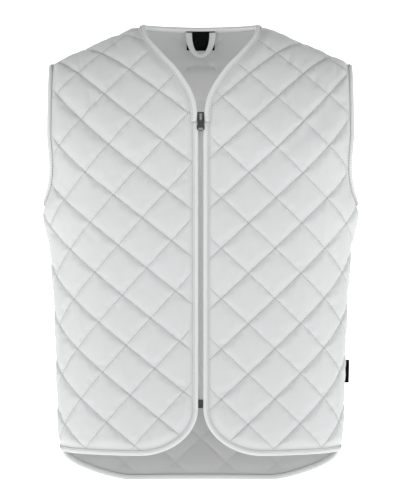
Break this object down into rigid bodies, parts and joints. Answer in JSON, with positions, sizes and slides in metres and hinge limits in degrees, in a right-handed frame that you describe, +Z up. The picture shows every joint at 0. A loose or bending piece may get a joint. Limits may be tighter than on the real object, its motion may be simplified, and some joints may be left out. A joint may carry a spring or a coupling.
{
  "type": "quilted thermal work gilet",
  "caption": "White diamond-quilted sleeveless work gilet with a V neck, a front zip, bound edges and a longer rounded back hem.",
  "frame": {"origin": "middle of the line between the neck ends of the two shoulder seams, where the garment sits on its wearer", "axes": "+Z up, the front faces -Y, +X is the wearer's left"},
  "size_m": [0.4962, 0.243, 0.7291],
  "materials": {
    "shell_cloth": "satin woven polyester, quilted",
    "edge_tape": "folded woven tape",
    "zip_cloth": "woven zip tape",
    "zip_teeth": "nylon coil",
    "zip_metal": "gunmetal, slightly worn",
    "zip_box_plastic": "moulded",
    "label_cloth": "black woven label, bare",
    "loop_cloth": "woven tape"
  },
  "bodies": {
    "gilet": {"front_panel_left": "shell_cloth", "front_panel_right": "shell_cloth", "back_panel": "shell_cloth", "neck_binding": "edge_tape", "front_binding_left": "edge_tape", "front_binding_right": "edge_tape", "armhole_binding_left": "edge_tape", "armhole_binding_right": "edge_tape", "tail_binding": "edge_tape", "zip_tape_left": "zip_cloth", "zip_tape_right": "zip_cloth", "zip_coil_left": "zip_teeth", "zip_coil_right": "zip_teeth", "zip_slider": "zip_metal", "zip_box": "zip_box_plastic", "neck_label": "label_cloth", "side_label": "label_cloth", "hanger_loop": "loop_cloth"},
    "pull": {"zip_pull": "zip_metal"}
  },
  "joints": [
    {"name": "pull_swing", "type": "hinge", "parent": "gilet", "child": "pull", "pos_m": [0, -0.12474, -0.15342], "axis": [-1, 0, 0], "range_deg": [0, 170]}
  ]
}
